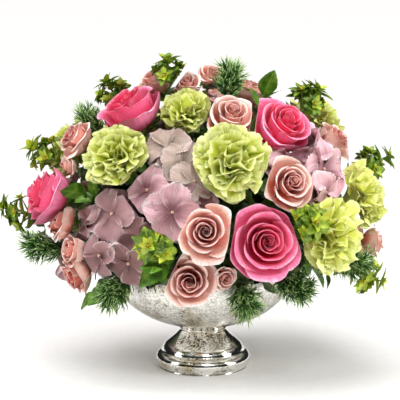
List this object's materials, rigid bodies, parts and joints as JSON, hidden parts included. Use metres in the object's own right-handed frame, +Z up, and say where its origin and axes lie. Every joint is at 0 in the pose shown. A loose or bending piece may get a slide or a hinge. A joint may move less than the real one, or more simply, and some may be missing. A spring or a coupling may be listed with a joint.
{
  "type": "floral table centerpiece",
  "caption": "Low dome of roses, spray roses, carnations, hydrangea and mixed greens in a footed bowl of silvered, mottled glass.",
  "frame": {"origin": "centre of the foot's flat underside, on the table", "axes": "+Z up out of the table, -Y towards the front of the arrangement, +X to its right seen from the front"},
  "size_m": [0.3935, 0.3167, 0.3185],
  "materials": {
    "glass": "polished",
    "foam": "matte",
    "rose": "matte",
    "spray_rose": "matte",
    "carnation": "matte",
    "hydrangea": "matte",
    "needles": "matte",
    "greens": "matte",
    "leaf": "satin"
  },
  "bodies": {
    "root": {"bowl": "glass", "carnation_back": "carnation", "carnation_back_left": "carnation", "carnation_back_middle": "carnation", "carnation_back_right": "carnation", "carnation_far_right": "carnation", "carnation_left": "carnation", "carnation_middle": "carnation", "carnation_right": "carnation", "carnation_top": "carnation", "carnation_upper_right": "carnation", "foam": "foam", "greens_back": "greens", "greens_far_right": "greens", "greens_front": "greens", "greens_left": "greens", "greens_low_right": "greens", "greens_right": "greens", "greens_top": "greens", "greens_top_left": "greens", "greens_upper_left": "greens", "greens_upper_right": "greens", "hydrangea_back_left": "hydrangea", "hydrangea_back_right": "hydrangea", "hydrangea_left": "hydrangea", "hydrangea_middle": "hydrangea", "hydrangea_right": "hydrangea", "hydrangea_top": "hydrangea", "leaves_back": "leaf", "leaves_front": "leaf", "leaves_left": "leaf", "leaves_low_left": "leaf", "leaves_top": "leaf", "needles_back": "needles", "needles_back_left": "needles", "needles_far_right": "needles", "needles_left": "needles", "needles_low_front": "needles", "needles_low_left": "needles", "needles_low_right": "needles", "needles_top": "needles", "needles_upper_left": "needles", "rose_back": "rose", "rose_back_left": "rose", "rose_back_right": "rose", "rose_front": "rose", "rose_left": "rose", "rose_upper_left": "rose", "rose_upper_right": "rose", "spray_rose_back": "spray_rose", "spray_rose_back_top": "spray_rose", "spray_rose_crown": "spray_rose", "spray_rose_far_right": "spray_rose", "spray_rose_far_top": "spray_rose", "spray_rose_front": "spray_rose", "spray_rose_low_right": "spray_rose", "spray_rose_lower_left": "spray_rose", "spray_rose_right": "spray_rose", "spray_rose_top": "spray_rose", "spray_rose_upper_left": "spray_rose"}
  },
  "joints": []
}
